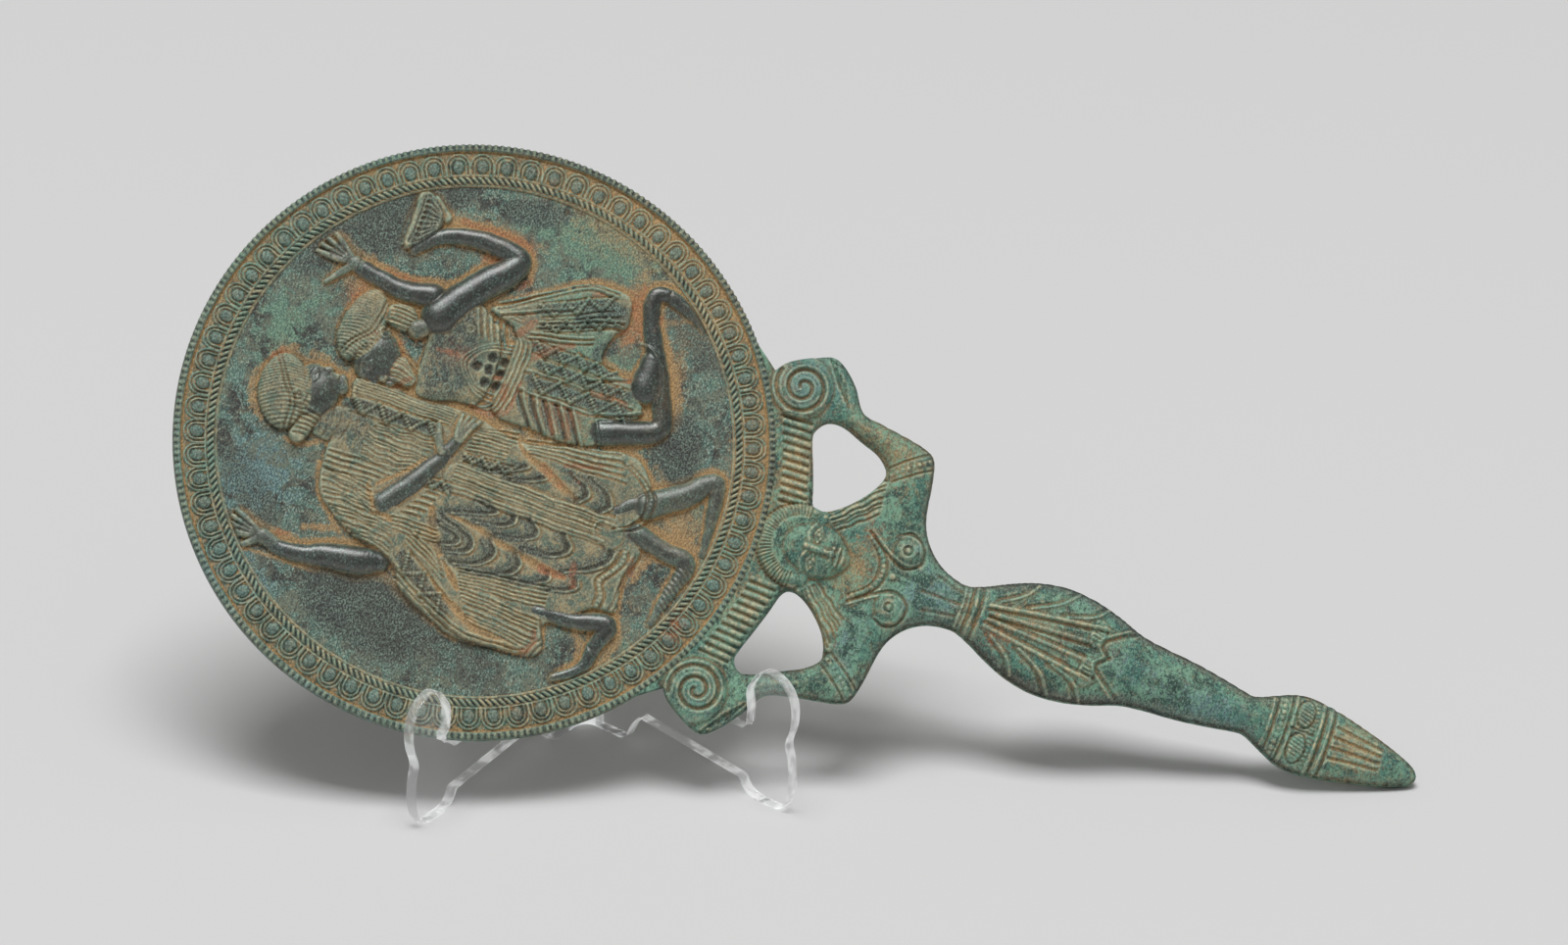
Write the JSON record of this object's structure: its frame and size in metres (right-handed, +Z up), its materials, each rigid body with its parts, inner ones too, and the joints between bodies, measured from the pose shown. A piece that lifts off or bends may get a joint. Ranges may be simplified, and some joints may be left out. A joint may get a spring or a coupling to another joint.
{
  "type": "bronze hand mirror on a display stand",
  "caption": "Cast bronze hand mirror with a figural relief on its disc and a standing figure as its handle, leaning on a clear bent-sheet display stand.",
  "frame": {"origin": "centre of the bounding box's underside, on the surface that the stand's feet and the tip of the handle rest on", "axes": "+X from the disc towards the tip of the handle, -Y the side that the relief faces, +Z up"},
  "size_m": [0.3158, 0.1044, 0.1462],
  "materials": {
    "aged_bronze": "dull dark brown-green patina with tan dirt in the recesses",
    "clear_sheet": "clear and glossy, bright cut edges"
  },
  "bodies": {
    "root": {"mirror": "aged_bronze", "display_stand": "clear_sheet"}
  },
  "joints": []
}
